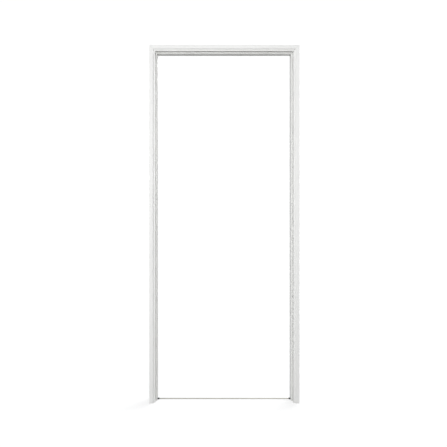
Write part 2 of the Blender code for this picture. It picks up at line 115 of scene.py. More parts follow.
for lamp_name, (place, aim_height, width, watts) in LAMPS.items():
    lamp_data = bpy.data.lights.new(lamp_name, "AREA")
    lamp_data.size = width
    lamp_data.energy = watts
    lamp = bpy.data.objects.new(lamp_name, lamp_data)
    lamp.location = place
    lamp.rotation_euler = (Vector((0, 0, aim_height)) - lamp.location).to_track_quat("-Z", "Y").to_euler()
    bpy.context.scene.collection.objects.link(lamp)

# Studio
# White paper stands all round, and the floor is seamless white paper with the frame's soft shadow on it.
# Both send only a dim light back on the frame, and the camera sees them a shade above white, so that the
# ground past the shadow stays pure white.
ROOM_LIGHT = 0.36
ROOM_COLOUR = "#F4F6F8"
PAPER_WHITE = "#FFFFFF"
SEEN_WHITE = 1.06
FLOOR_WIDTH = 60.0
FLOOR_BOUNCE = "#70706E"
FLOOR_SEEN = "#C8C8C8"
FLOOR_LIFT = 0.54
SHADOW_REACH = (0.7, 1.6)


def add_node(tree, kind, settings=None, inputs=None):
    """Adds a node. Settings are its properties, and inputs are its sockets' values or what feeds them."""
    node = tree.nodes.new(kind)
    for name, value in (settings or {}).items():
        setattr(node, name, value)
    for name, value in (inputs or {}).items():
        if isinstance(value, bpy.types.NodeSocket):
            tree.links.new(value, node.inputs[name])
        else:
            node.inputs[name].default_value = value
    return node


def linear(hex_colour):
    """Linear red, green, blue and alpha 1 of an sRGB hex colour: c / 12.92 if dark, else the 2.4 power."""
    coded = np.array([int(hex_colour[start:start + 2], 16) / 255 for start in (1, 3, 5)])
    light = np.where(coded <= 0.04045, coded / 12.92, ((coded + 0.055) / 1.055) ** 2.4)
    return (*light.tolist(), 1.0)


def seen_directly(tree):
    """1 for rays that the camera, a mirror or glass sends out, and 0 for those that light things."""
    path = add_node(tree, "ShaderNodeLightPath")
    mirrored = add_node(tree, "ShaderNodeMath", {"operation": "MAXIMUM"}, {
        0: path.outputs["Is Glossy Ray"],
        1: path.outputs["Is Transmission Ray"],
    })
    return add_node(tree, "ShaderNodeMath", {"operation": "MAXIMUM"}, {
        0: path.outputs["Is Camera Ray"],
        1: mirrored.outputs[0],
    }).outputs[0]


world = bpy.data.worlds.new("paper_room")
world.use_nodes = True
bpy.context.scene.world = world
room = world.node_tree
room.nodes.clear()
room_light = add_node(room, "ShaderNodeBackground", None, {
    "Color": linear(ROOM_COLOUR), "Strength": ROOM_LIGHT,
})
room_seen = add_node(room, "ShaderNodeBackground", None, {
    "Color": linear(PAPER_WHITE), "Strength": SEEN_WHITE,
})
room_mix = add_node(room, "ShaderNodeMixShader", None, {
    0: seen_directly(room),
    1: room_light.outputs[0],
    2: room_seen.outputs[0],
})
add_node(room, "ShaderNodeOutputWorld", None, {"Surface": room_mix.outputs[0]})

# Near the frame the camera sees lit grey paper lifted to white, so that only the shadow shows, and past
# the shadow's reach it sees plain white.
paper = bpy.data.materials.new("white_paper_floor")
paper.use_nodes = True
tree = paper.node_tree
tree.nodes.clear()
bounce = add_node(tree, "ShaderNodeBsdfDiffuse", None, {"Color": linear(FLOOR_BOUNCE)})
lit = add_node(tree, "ShaderNodeBsdfDiffuse", None, {"Color": linear(FLOOR_SEEN)})
lift = add_node(tree, "ShaderNodeEmission", None, {
    "Color": linear(PAPER_WHITE), "Strength": FLOOR_LIFT,
})
white = add_node(tree, "ShaderNodeEmission", None, {
    "Color": linear(PAPER_WHITE), "Strength": SEEN_WHITE,
})
near = add_node(tree, "ShaderNodeAddShader", None, {0: lit.outputs[0], 1: lift.outputs[0]})
spot = add_node(tree, "ShaderNodeTexCoord").outputs["Object"]
distance = add_node(tree, "ShaderNodeVectorMath", {"operation": "LENGTH"}, {0: spot})
past_shadow = add_node(tree, "ShaderNodeMapRange", {"interpolation_type": "SMOOTHSTEP"}, {
    "Value": distance.outputs["Value"], "From Min": SHADOW_REACH[0], "From Max": SHADOW_REACH[1],
})
shown = add_node(tree, "ShaderNodeMixShader", None, {
    0: past_shadow.outputs[0],
    1: near.outputs[0],
    2: white.outputs[0],
})
paper_mix = add_node(tree, "ShaderNodeMixShader", None, {
    0: seen_directly(tree),
    1: bounce.outputs[0],
    2: shown.outputs[0],
})
add_node(tree, "ShaderNodeOutputMaterial", None, {"Surface": paper_mix.outputs[0]})

floor_mesh = bpy.data.meshes.new("floor")
half_floor = FLOOR_WIDTH / 2
floor_corners = half_floor * np.array([(-1, -1, 0), (1, -1, 0), (1, 1, 0), (-1, 1, 0)])
floor_mesh.from_pydata(floor_corners.tolist(), [], [(0, 1, 2, 3)])
floor_mesh.materials.append(paper)
floor = bpy.data.objects.new("floor", floor_mesh)
bpy.context.scene.collection.objects.link(floor)

# uPVC bars
# The jambs and the head are one hollow white extrusion of rigid PVC, drawn through a cooled calibrator.
# They are sawn square at the feet and at 45 degrees at the corners, where brackets draw the mitres shut,
# the left one tighter than the right.
FLAT_BAND = 0.020
OGEE_WIDTH = 0.008
OGEE_DROP = 0.006
BEAD_WIDTH = 0.006
REBATE_DEPTH = 0.042
STOP_WIDTH = 0.010
OUTER_WALL = 0.0024
INNER_WEB = 0.0016
EDGE_RADIUS = 0.0008
BEAD_RADIUS = 0.0012
NOSE_RADIUS = 0.0012
REBATE_RADIUS = 0.0005
LIP_RADIUS = 0.00025
CHAMBER_RADIUS = 0.0005
CHANNEL_MOUTH = 0.010
CHANNEL_UNDERCUT = 0.0010
CHANNEL_DEPTH = 0.0032
GROOVE_MOUTH = 0.0030
GROOVE_UNDERCUT = 0.0007
GROOVE_LIP = 0.0012
GROOVE_DEPTH = 0.0050
BRACKET_ROOM = 0.0156
STEEL_ROOM = 0.0256
ARC_STEPS = 7
OGEE_STEPS = 28
SAWN_ARRIS = 0.00012
LEFT_MITRE_GAP = 0.00006
RIGHT_MITRE_GAP = 0.00050
SAME_POINT = 0.000001
NO_LENGTH = 1e-12
MILLIMETRES = 1000
CAP_WELD = 1e-7
INSIDE_WITH_HOLES = 2
SHARP_DEGREES = 30

low_corner, high_corner = [Vector(corner) for corner in solid_box]
frame_height = high_corner.z
frame_width = high_corner.x - low_corner.x
frame_depth = high_corner.y - low_corner.y
rebate_face = FLAT_BAND + OGEE_WIDTH + BEAD_WIDTH
stop_face = rebate_face + STOP_WIDTH
groove_centre = rebate_face + STOP_WIDTH / 2
spine_face = rebate_face - OUTER_WALL
front_room_end = OUTER_WALL + BRACKET_ROOM
steel_room_start = front_room_end + INNER_WEB
steel_room_end = steel_room_start + STEEL_ROOM
middle_room_start = steel_room_end + INNER_WEB
rear_room_start = frame_depth - OUTER_WALL - BRACKET_ROOM
middle_room_end = rear_room_start - INNER_WEB
back_wall_inside = frame_depth - OUTER_WALL
stop_room_start = REBATE_DEPTH + GROOVE_DEPTH + OUTER_WALL
steel_channel = (steel_room_start + steel_room_end) / 2
middle_channel = (middle_room_start + middle_room_end) / 2

# A run is the wall-side front corner where a bar starts, the way into the opening, the way along the bar,
# its length, and the gap of the mitre at its start and at its end, or None where it is sawn square.
RUNS = {
    "left": (Vector((low_corner.x, low_corner.y, 0)), Vector((1, 0, 0)), Vector((0, 0, 1)),
             frame_height, None, LEFT_MITRE_GAP),
    "head": (Vector((low_corner.x, low_corner.y, frame_height)), Vector((0, 0, -1)), Vector((1, 0, 0)),
             frame_width, LEFT_MITRE_GAP, RIGHT_MITRE_GAP),
    "right": (Vector((high_corner.x, low_corner.y, frame_height)), Vector((-1, 0, 0)), Vector((0, 0, -1)),
              frame_height, RIGHT_MITRE_GAP, None),
}


def arc_outline(corners):
    """Closed outline through corners (x, y, radius), each turned into an arc.

    With 2h the angle between the sides that meet at a corner, the arc's centre lies radius / sin h along
    their bisector, and it touches the sides radius / tan h from the corner. The arc swings from one radius
    vector p to the other q as (sin((1-t)w) p + sin(tw) q) / sin w, with w = pi - 2h.
    """
    corner = np.array(corners, float)
    place, radius = corner[:, :2], corner[:, 2:]
    to_before = np.roll(place, 1, axis=0) - place
    to_after = np.roll(place, -1, axis=0) - place
    to_before /= np.linalg.norm(to_before, axis=1, keepdims=True)
    to_after /= np.linalg.norm(to_after, axis=1, keepdims=True)
    half = np.arccos(np.clip((to_before * to_after).sum(axis=1, keepdims=True), -1, 1)) / 2
    bisector = to_before + to_after
    bisector /= np.maximum(np.linalg.norm(bisector, axis=1, keepdims=True), NO_LENGTH)
    centre = place + bisector * radius / np.sin(half)
    first = place + to_before * radius / np.tan(half) - centre
    last = place + to_after * radius / np.tan(half) - centre
    swing = np.pi - 2 * half
    share = np.linspace(0, 1, ARC_STEPS + 1)
    from_first = (np.sin((1 - share) * swing) / np.maximum(np.sin(swing), NO_LENGTH))[..., None]
    from_last = (np.sin(share * swing) / np.maximum(np.sin(swing), NO_LENGTH))[..., None]
    outline = centre[:, None] + from_first * first[:, None] + from_last * last[:, None]
    outline = outline.reshape(-1, 2)
    apart = np.linalg.norm(outline - np.roll(outline, 1, axis=0), axis=1) > SAME_POINT
    return outline[apart]


def rounded_box(x_low, y_low, x_high, y_high, radius):
    """A rectangle with four rounded corners."""
    corners = [(x_low, y_low), (x_high, y_low), (x_high, y_high), (x_low, y_high)]
    return arc_outline([(x, y, radius) for x, y in corners])


def turned_way(outline, anticlockwise):
    """The outline, reversed if need be, by its signed area: half the sum of x y' - x' y over its sides."""
    ahead = np.roll(outline, -1, axis=0)
    area = (outline[:, 0] * ahead[:, 1] - ahead[:, 0] * outline[:, 1]).sum() / 2
    return outline if (area > 0) == anticlockwise else outline[::-1]


def front_depth(x):
    """Depth of the moulded face at x: half a cosine wave from the flat band down to the bead."""
    share = np.clip((x - FLAT_BAND) / OGEE_WIDTH, 0, 1)
    return OGEE_DROP * (1 - np.cos(np.pi * share)) / 2


def channel_corners(centre):
    """Corners of a dovetail channel in the wall side, from the back face towards the front."""
    mouth = CHANNEL_MOUTH / 2
    return [
        (0, centre + mouth, LIP_RADIUS),
        (CHANNEL_DEPTH, centre + mouth + CHANNEL_UNDERCUT, LIP_RADIUS),
        (CHANNEL_DEPTH, centre - mouth - CHANNEL_UNDERCUT, LIP_RADIUS),
        (0, centre - mouth, LIP_RADIUS),
    ]


def bar_outline():
    """Outside of the bar's section: x goes from the wall side into the opening, y from front to back."""
    across = FLAT_BAND + OGEE_WIDTH * np.linspace(0, 1, OGEE_STEPS + 1)
    mouth = GROOVE_MOUTH / 2
    wide = mouth + GROOVE_UNDERCUT
    lip = REBATE_DEPTH + GROOVE_LIP
    bottom = REBATE_DEPTH + GROOVE_DEPTH
    corners = [(0, 0, EDGE_RADIUS)]
    corners += [(x, y, 0) for x, y in zip(across, front_depth(across))]
    corners += [
        (rebate_face, OGEE_DROP, BEAD_RADIUS),
        (rebate_face, REBATE_DEPTH, REBATE_RADIUS),
        (groove_centre - mouth, REBATE_DEPTH, LIP_RADIUS),
        (groove_centre - mouth, lip, 0),
        (groove_centre - wide, lip, 0),
        (groove_centre - wide, bottom, LIP_RADIUS),
        (groove_centre + wide, bottom, LIP_RADIUS),
        (groove_centre + wide, lip, 0),
        (groove_centre + mouth, lip, 0),
        (groove_centre + mouth, REBATE_DEPTH, LIP_RADIUS),
        (stop_face, REBATE_DEPTH, NOSE_RADIUS),
        (stop_face, frame_depth, NOSE_RADIUS),
        (0, frame_depth, EDGE_RADIUS),
    ]
    corners += channel_corners(middle_channel)
    corners += channel_corners(steel_channel)
    return arc_outline(corners)


def moulding_chamber():
    """Chamber behind the ogee and the bead, one wall's thickness from the moulded face."""
    x_low = front_room_end + INNER_WEB
    wall = OUTER_WALL * np.hypot(OGEE_WIDTH, OGEE_DROP) / OGEE_WIDTH
    across = np.linspace(x_low, spine_face, OGEE_STEPS + 1)
    corners = [(x, y + wall, 0) for x, y in zip(across, front_depth(across))]
    corners += [(spine_face, front_room_end, CHAMBER_RADIUS), (x_low, front_room_end, CHAMBER_RADIUS)]
    return arc_outline(corners)


def channel_chamber(y_low, y_high):
    """Chamber behind a wall-side channel."""
    return rounded_box(CHANNEL_DEPTH + OUTER_WALL, y_low, spine_face, y_high, CHAMBER_RADIUS)


def pocketed_chamber(y_low, y_high, centre):
    """Chamber that also reaches past both sides of the channel in front of it."""
    shoulder = CHANNEL_MOUTH / 2 + CHANNEL_UNDERCUT + OUTER_WALL
    channel_back = CHANNEL_DEPTH + OUTER_WALL
    corners = [
        (OUTER_WALL, y_low),
        (spine_face, y_low),
        (spine_face, y_high),
        (OUTER_WALL, y_high),
        (OUTER_WALL, centre + shoulder),
        (channel_back, centre + shoulder),
        (channel_back, centre - shoulder),
        (OUTER_WALL, centre - shoulder),
    ]
    return arc_outline([(x, y, CHAMBER_RADIUS) for x, y in corners])


def bar_section():
    """The bar's outline, and the seven chambers that run through it."""
    inner = front_room_end + INNER_WEB
    stop_inside = stop_face - OUTER_WALL
    chambers = [
        rounded_box(OUTER_WALL, OUTER_WALL, front_room_end, front_room_end, CHAMBER_RADIUS),
        moulding_chamber(),
        pocketed_chamber(steel_room_start, steel_room_end, steel_channel),
        channel_chamber(middle_room_start, middle_room_end),
        rounded_box(OUTER_WALL, rear_room_start, front_room_end, back_wall_inside, CHAMBER_RADIUS),
        rounded_box(inner, rear_room_start, spine_face, back_wall_inside, CHAMBER_RADIUS),
        rounded_box(spine_face + INNER_WEB, stop_room_start, stop_inside, back_wall_inside, CHAMBER_RADIUS),
    ]
    return bar_outline(), chambers


def sawn_ends(run, foot_lift=0.0):
    """Where a bar starts and ends along its run, and how far each end slides for a step across the bar.

    Both bars of a mitre back off along their runs by the gap times the root of a half, which leaves the gap
    between them, measured square to the joint.
    """
    length, start_gap, end_gap = run[3:]
    back_off = np.sqrt(0.5)
    start = foot_lift if start_gap is None else start_gap * back_off
    end = length - (foot_lift if end_gap is None else end_gap * back_off)
    return start, end, float(start_gap is not None), float(end_gap is not None)


def swept_bar(name, outline, hollows, run, ends, arris):
    """Mesh of a section carried along a run.

    A section point (x, y) at station z lies at corner + x inward + y back + z along, where z goes from
    start + x start_slope to end - x end_slope. At each end the outline draws in by the arris along its
    normal, which stands square to the line between a point's two neighbours.
    """
    corner, inward, along = [np.array(part) for part in run[:3]]
    start, end, start_slope, end_slope = ends
    loops = [turned_way(outline, True)] + [turned_way(hollow, False) for hollow in hollows]
    blocks, faces, first = [], [], 0
    caps = {0: [], 3: []}
    for index, loop in enumerate(loops):
        tangent = np.roll(loop, -1, axis=0) - np.roll(loop, 1, axis=0)
        tangent /= np.linalg.norm(tangent, axis=1, keepdims=True)
        normal = np.stack([tangent[:, 1], -tangent[:, 0]], axis=1)
        drawn_in = loop - normal * (arris if index == 0 else 0)
        stations = np.stack([drawn_in, loop, loop, drawn_in])
        z_start = start + start_slope * stations[:2, :, 0] + np.array([[0], [arris]])
        z_end = end - end_slope * stations[2:, :, 0] - np.array([[arris], [0]])
        height = np.concatenate([z_start, z_end])[..., None]
        points = corner + stations[..., :1] * inward + stations[..., 1:] * (0, 1, 0) + height * along
        blocks.append(points.reshape(-1, 3))
        count = len(loop)
        near = first + np.arange(count)
        far = first + (np.arange(count) + 1) % count
        for station in range(3):
            step = station * count
            quads = np.stack([near, far, far + count, near + count], axis=1) + step
            faces += quads.tolist()
        for station in caps:
            caps[station].append((stations[station], near + station * count))
        first += 4 * count
    for station, rims in caps.items():
        faces += capped(rims, upwards=station == 3)
    mesh = bpy.data.meshes.new(name)
    mesh.from_pydata(np.concatenate(blocks).tolist(), [], faces)
    return mesh


def capped(rims, upwards):
    """Triangles, found in millimetres, that fill a sawn end between its rim and those of its hollows."""
    flat = np.concatenate([rim for rim, _ in rims]) * MILLIMETRES
    number = np.concatenate([numbers for _, numbers in rims])
    edges, first = [], 0
    for rim, _ in rims:
        around = np.arange(len(rim))
        edges += np.stack([first + around, first + (around + 1) % len(rim)], axis=1).tolist()
        first += len(rim)
    points = [Vector(point) for point in flat]
    filled = delaunay_2d_cdt(points, edges, [], INSIDE_WITH_HOLES, CAP_WELD)
    corners = [[filled[3][index][0] for index in triangle] for triangle in filled[2]]
    order = 1 if upwards else -1
    return [number[triangle[::order]].tolist() for triangle in corners]


def smooth_lands(piece, sharp_degrees=SHARP_DEGREES):
    """Shades curves smoothly, keeps sawn and moulded arrises crisp and keeps wide lands flat."""
    piece.data.shade_smooth()
    piece.data.set_sharp_from_angle(angle=np.radians(sharp_degrees))
    even = piece.modifiers.new("flat_lands", "WEIGHTED_NORMAL")
    even.keep_sharp = True


def shown_piece(name, mesh, material):
    """An object at the origin for a finished mesh."""
    mesh.materials.clear()
    mesh.materials.append(material)
    piece = bpy.data.objects.new(name, mesh)
    bpy.context.scene.collection.objects.link(piece)
    return piece


def cut_away(piece, cutters):
    """Takes closed cutters out of a piece, and deletes them."""
    group = bpy.data.collections.new("cutters")
    bpy.context.scene.collection.children.link(group)
    for cutter in cutters:
        group.objects.link(bpy.data.objects.new("cutter", cutter))
    difference = piece.modifiers.new("cuts", "BOOLEAN")
    difference.operation = "DIFFERENCE"
    difference.solver = "EXACT"
    difference.operand_type = "COLLECTION"
    difference.collection = group
    graph = bpy.context.evaluated_depsgraph_get()
    whole = piece.data
    piece.data = bpy.data.meshes.new_from_object(piece.evaluated_get(graph))
    piece.data.name = piece.name
    piece.modifiers.clear()
    bpy.data.meshes.remove(whole)
    for cutter in list(group.objects):
        bpy.data.objects.remove(cutter, do_unlink=True)
    bpy.data.collections.remove(group)


def lathed(name, profile, around, wobble=None):
    """Mesh of a profile (radius, height) turned about Z with so many points around, and with flat ends.

    The profile is read upwards, and its point at share t of a turn lies at (r cos 2 pi t, r sin 2 pi t, h).
    Wobble, where given, takes the arrays of radius, height and turn and gives the radius to use instead.
    """
    radius, height = np.array(profile, float).T[..., None]
    turn = np.arange(around) / around
    radius = radius + 0 * turn
    if wobble is not None:
        radius = wobble(radius, height, turn)
    angle = 2 * np.pi * turn
    points = np.stack([radius * np.cos(angle), radius * np.sin(angle), height + 0 * angle], axis=2)
    return ringed(name, points)


def ringed(name, points):
    """Mesh through an array of closed rings (ring, point, 3) that turn anticlockwise round the way up."""
    rings, around = points.shape[:2]
    number = np.arange(rings * around).reshape(rings, around)
    ahead = np.roll(number, -1, axis=1)
    sides = np.stack([number[:-1], ahead[:-1], ahead[1:], number[1:]], axis=2).reshape(-1, 4)
    mesh = bpy.data.meshes.new(name)
    faces = sides.tolist() + [number[0, ::-1].tolist(), number[-1].tolist()]
    mesh.from_pydata(points.reshape(-1, 3).tolist(), [], faces)
    return mesh


def placed(mesh, name, point, outward, turn=0.0):
    """A copy of a mesh made along Z, moved so that Z points outward from the point."""
    copy = mesh.copy()
    copy.name = name
    facing = Vector(outward).to_track_quat("Z", "Y").to_matrix().to_4x4()
    copy.transform(Matrix.Translation(point) @ facing @ Matrix.Rotation(turn, 4, "Z"))
    return copy


def boxed(low, high):
    """A box between two corners."""
    low, high = np.minimum(low, high), np.maximum(low, high)
    square = np.array([(0, 0), (1, 0), (1, 1), (0, 1)])
    rings = np.stack([np.column_stack([square, np.full(4, level)]) for level in (0, 1)])
    return ringed("box", low + rings * (high - low))


def screw_seat(node):
    """The middle of a screw's outer end, which lies in the wall side, and the way out of the wall side."""
    low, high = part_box(node)
    middle = (low + high) / 2
    if "head" in node.split("_"):
        return Vector((middle.x, middle.y, high.z)), Vector((0, 0, 1))
    if middle.x < 0:
        return Vector((low.x, middle.y, middle.z)), Vector((-1, 0, 0))
    return Vector((high.x, middle.y, middle.z)), Vector((1, 0, 0))


# Rigid PVC is opaque white from its titanium dioxide, with a satin skin. The die leaves faint lines along
# the bar about a millimetre apart and some microns deep, drawn deeper here so that a near view shows them.
UPVC_WHITE = "#F2F2F1"
UPVC_CLOUDED = "#EFEFED"
UPVC_IOR = 1.53
UPVC_ROUGHNESS = (0.42, 0.51)
DIE_LINE_SPACING = 0.0011
DIE_LINE_DEPTH = 0.00002
DIE_LINE_STRETCH = 220
CLOUD_WIDTH = 0.045
CLOUD_STRETCH = 3
CLOUD_RANGE = (0.3, 0.7)


def upvc_skin(name, along):
    """Extruded rigid PVC whose die lines and faint clouds run along an axis, 0 for X or 2 for Z."""
    material = bpy.data.materials.new(name)
    material.use_nodes = True
    tree = material.node_tree
    shader = tree.nodes["Principled BSDF"]
    shader.inputs["IOR"].default_value = UPVC_IOR
    place = add_node(tree, "ShaderNodeTexCoord").outputs["Object"]
    line_scale = [1 / DIE_LINE_SPACING] * 3
    line_scale[along] /= DIE_LINE_STRETCH
    cloud_scale = [1 / CLOUD_WIDTH] * 3
    cloud_scale[along] /= CLOUD_STRETCH
    line_place = add_node(tree, "ShaderNodeMapping", None, {"Vector": place, "Scale": line_scale})
    cloud_place = add_node(tree, "ShaderNodeMapping", None, {"Vector": place, "Scale": cloud_scale})
    lines = add_node(tree, "ShaderNodeTexNoise", None, {
        "Vector": line_place.outputs[0], "Scale": 1.0, "Detail": 3.0, "Roughness": 0.55,
    })
    clouds = add_node(tree, "ShaderNodeTexNoise", None, {
        "Vector": cloud_place.outputs[0], "Scale": 1.0, "Detail": 2.0, "Roughness": 0.5,
    })
    colour = add_node(tree, "ShaderNodeMix", {"data_type": "RGBA"}, {
        0: clouds.outputs[0], 6: linear(UPVC_WHITE), 7: linear(UPVC_CLOUDED),
    })
    gloss = add_node(tree, "ShaderNodeMapRange", None, {
        "Value": clouds.outputs[0], "From Min": CLOUD_RANGE[0], "From Max": CLOUD_RANGE[1],
        "To Min": UPVC_ROUGHNESS[0], "To Max": UPVC_ROUGHNESS[1],
    })
    bump = add_node(tree, "ShaderNodeBump", None, {
        "Height": lines.outputs[0], "Strength": 0.5, "Distance": DIE_LINE_DEPTH,
    })
    tree.links.new(colour.outputs[2], shader.inputs["Base Color"])
    tree.links.new(gloss.outputs[0], shader.inputs["Roughness"])
    tree.links.new(bump.outputs[0], shader.inputs["Normal"])
    return material


# Each screw has its hole in the wall side, and each foot a notch that the tie bar's clip slides up into.
SCREW_HOLE_RADIUS = 0.0022
SCREW_HOLE_DEPTH = 0.0060
SINK_RADIUS = 0.0039
NOTCH_NECK = 0.0096
NOTCH_SPARE = 0.0003
CUT_PAST = 0.001
HOLE_SIDES = 32

drilled_profile = [(SCREW_HOLE_RADIUS, -SCREW_HOLE_DEPTH), (SCREW_HOLE_RADIUS, 0)]
sunk_profile = [
    (SCREW_HOLE_RADIUS, -SCREW_HOLE_DEPTH),
    (SCREW_HOLE_RADIUS, SCREW_HOLE_RADIUS - SINK_RADIUS),
    (SINK_RADIUS + CUT_PAST, CUT_PAST),
]
drilled_hole = lathed("drilled_hole", drilled_profile, HOLE_SIDES)
sunk_hole = lathed("sunk_hole", sunk_profile, HOLE_SIDES)
upvc_upright = upvc_skin("extruded_upvc_upright", 2)
upvc_level = upvc_skin("extruded_upvc_level", 0)
reinforcement_screws = sorted(node for node in frame["nodes"] if node.startswith("reinforcement_screw"))
bracket_screws = sorted(node for node in frame["nodes"] if node.startswith("bracket_screw"))

bar_rim, bar_chambers = bar_section()
for run_name, node in (("left", "jamb_left"), ("head", "head"), ("right", "jamb_right")):
    run = RUNS[run_name]
    bar = shown_piece(
        "upvc_" + node,
        swept_bar(node, bar_rim, bar_chambers, run, sawn_ends(run), SAWN_ARRIS),
        upvc_level if run_name == "head" else upvc_upright,
    )
    cutters = []
    for screw in reinforcement_screws:
        if "_" + run_name + "_" in screw:
            point, outward = screw_seat(screw)
            cutters.append(placed(drilled_hole, "hole", point, outward))
    for screw in bracket_screws:
        words = screw.split("_")
        in_head = run_name == "head" and "head" in words
        in_jamb = run_name in words and "jamb" in words
        if in_head or in_jamb:
            point, outward = screw_seat(screw)
            cutters.append(placed(sunk_hole, "hole", point, outward))
    if run_name != "head":
        clip_low, clip_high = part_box("tie_bar_clip_" + run_name)
        notch_half = NOTCH_NECK / 2 + NOTCH_SPARE
        clip_middle = (clip_low.y + clip_high.y) / 2
        corner, inward = run[0], run[1]
        wall_outside = corner.x + inward.x * (stop_face + CUT_PAST)
        wall_inside = corner.x + inward.x * (stop_face - OUTER_WALL - CUT_PAST)
        cutters.append(boxed(
            (wall_outside, clip_middle - notch_half, -CUT_PAST),
            (wall_inside, clip_middle + notch_half, clip_high.z + NOTCH_SPARE),
        ))
    cut_away(bar, cutters)
    smooth_lands(bar)
    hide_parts(node)
    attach(bar, "root")

# Bulb seals
# An off-white thermoplastic rubber seal is rolled into the groove of each stop, and the leaf squeezes its
# low hollow bulb. It is cut square at the feet and mitred in the corners.
SEAL_WIDTH = 0.0056
SEAL_HEIGHT = 0.0034
SEAL_WALL = 0.0010
SEAL_CLEARANCE = 0.0003
SEAL_ARRIS = 0.00005
BULB_STEPS = 40
SEAL_WHITE = "#F0F0EE"
SEAL_DUSTED = "#EAEAE7"
SEAL_ROUGHNESS = 0.62
SEAL_IOR = 1.50
DUST_WIDTH = 0.055
SEAL_GRAIN = 0.0004
SEAL_GRAIN_DEPTH = 0.00003


def seal_section():
    """Half-elliptic bulb (c - a cos t, b - h sin t) on a barbed stem, and the hollow inside the bulb."""
    base = REBATE_DEPTH - SEAL_CLEARANCE
    barb_top = REBATE_DEPTH + GROOVE_LIP + SEAL_CLEARANCE
    barb_end = REBATE_DEPTH + GROOVE_DEPTH - SEAL_CLEARANCE
    stem = GROOVE_MOUTH / 2 - SEAL_CLEARANCE
    barb = stem + GROOVE_UNDERCUT
    half = SEAL_WIDTH / 2
    rise = SEAL_HEIGHT - SEAL_CLEARANCE
    swing = np.linspace(0, np.pi, BULB_STEPS + 1)
    bulb = np.stack([groove_centre - half * np.cos(swing), base - rise * np.sin(swing)], axis=1)
    hollow = np.stack([
        groove_centre - (half - SEAL_WALL) * np.cos(swing),
        base - SEAL_WALL - (rise - 2 * SEAL_WALL) * np.sin(swing),
    ], axis=1)
    side = np.array([(stem, base), (stem, barb_top), (barb, barb_top), (stem / 2, barb_end)])
    right = side + (groove_centre, 0)
    left = (side * (-1, 1) + (groove_centre, 0))[::-1]
    return np.concatenate([bulb, right, left]), hollow


# The rubber is matt and a little dusty, so it never shines as the bars do. Its skin is far finer than a
# picture shows, and its grain is drawn coarser.
rubber = bpy.data.materials.new("matt_thermoplastic_rubber")
rubber.use_nodes = True
tree = rubber.node_tree
shader = tree.nodes["Principled BSDF"]
shader.inputs["Roughness"].default_value = SEAL_ROUGHNESS
shader.inputs["IOR"].default_value = SEAL_IOR
place = add_node(tree, "ShaderNodeTexCoord").outputs["Object"]
dust = add_node(tree, "ShaderNodeTexNoise", None, {
    "Vector": place, "Scale": 1 / DUST_WIDTH, "Detail": 4.0,
})
grain = add_node(tree, "ShaderNodeTexNoise", None, {
    "Vector": place, "Scale": 1 / SEAL_GRAIN, "Detail": 2.0,
})
dusted = add_node(tree, "ShaderNodeMix", {"data_type": "RGBA"}, {
    0: dust.outputs[0], 6: linear(SEAL_WHITE), 7: linear(SEAL_DUSTED),
})
grain_bump = add_node(tree, "ShaderNodeBump", None, {
    "Height": grain.outputs[0], "Strength": 0.3, "Distance": SEAL_GRAIN_DEPTH,
})
tree.links.new(dusted.outputs[2], shader.inputs["Base Color"])
tree.links.new(grain_bump.outputs[0], shader.inputs["Normal"])

seal_rim, seal_hollow = seal_section()
for run_name, run in RUNS.items():
    ends = sawn_ends(run, foot_lift=SEAL_CLEARANCE)
    node = "seal_" + run_name
    seal = shown_piece(
        "bulb_" + node,
        swept_bar(node, seal_rim, [seal_hollow], run, ends, SEAL_ARRIS),
        rubber,
    )
    smooth_lands(seal)
    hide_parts(node)
    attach(seal, "root")

# Steel tubes
# A square tube of galvanised steel slides into the main chamber of each bar and stiffens it. Hot zinc
# freezes on the strip in flat crystals some millimetres wide, each with its own shade and gloss.
ZINC_BRIGHT = ("#CDD0D2", "#B2B6B9")
ZINC_ROUGHNESS = (0.30, 0.48)
SPANGLE_WIDTH = 0.007
FROST_PER_SPANGLE = 3
FROST_DEPTH = 0.00005


def galvanised_skin(name, spangle_width, shades, roughness):
    """Hot-dip zinc: each Voronoi cell is one crystal, whose own random colour sets its shade and gloss."""
    material = bpy.data.materials.new(name)
    material.use_nodes = True
    tree = material.node_tree
    shader = tree.nodes["Principled BSDF"]
    shader.inputs["Metallic"].default_value = 1.0
    place = add_node(tree, "ShaderNodeTexCoord").outputs["Object"]
    frost = add_node(tree, "ShaderNodeTexNoise", None, {
        "Vector": place, "Scale": FROST_PER_SPANGLE / spangle_width, "Detail": 3.0,
    })
    crystal = add_node(tree, "ShaderNodeTexVoronoi", {"feature": "F1"}, {
        "Vector": place, "Scale": 1 / spangle_width, "Randomness": 1.0,
    })
    number = add_node(tree, "ShaderNodeSeparateColor", None, {"Color": crystal.outputs["Color"]})
    shade = add_node(tree, "ShaderNodeMix", {"data_type": "RGBA"}, {
        0: number.outputs[0], 6: linear(shades[0]), 7: linear(shades[1]),
    })
    gloss = add_node(tree, "ShaderNodeMapRange", None, {
        "Value": number.outputs[1], "To Min": roughness[0], "To Max": roughness[1],
    })
    bump = add_node(tree, "ShaderNodeBump", None, {
        "Height": frost.outputs[0], "Strength": 0.25, "Distance": FROST_DEPTH,
    })
    tree.links.new(shade.outputs[2], shader.inputs["Base Color"])
    tree.links.new(gloss.outputs[0], shader.inputs["Roughness"])
    tree.links.new(bump.outputs[0], shader.inputs["Normal"])
    return material


def dressed(node, material):
    """Gives a kept solid its finish."""
    for slot in frame["nodes"][node].material_slots:
        slot.material = material


galvanised = galvanised_skin("hot_dip_galvanised_steel", SPANGLE_WIDTH, ZINC_BRIGHT, ZINC_ROUGHNESS)
for run_name in RUNS:
    dressed("reinforcement_" + run_name, galvanised)

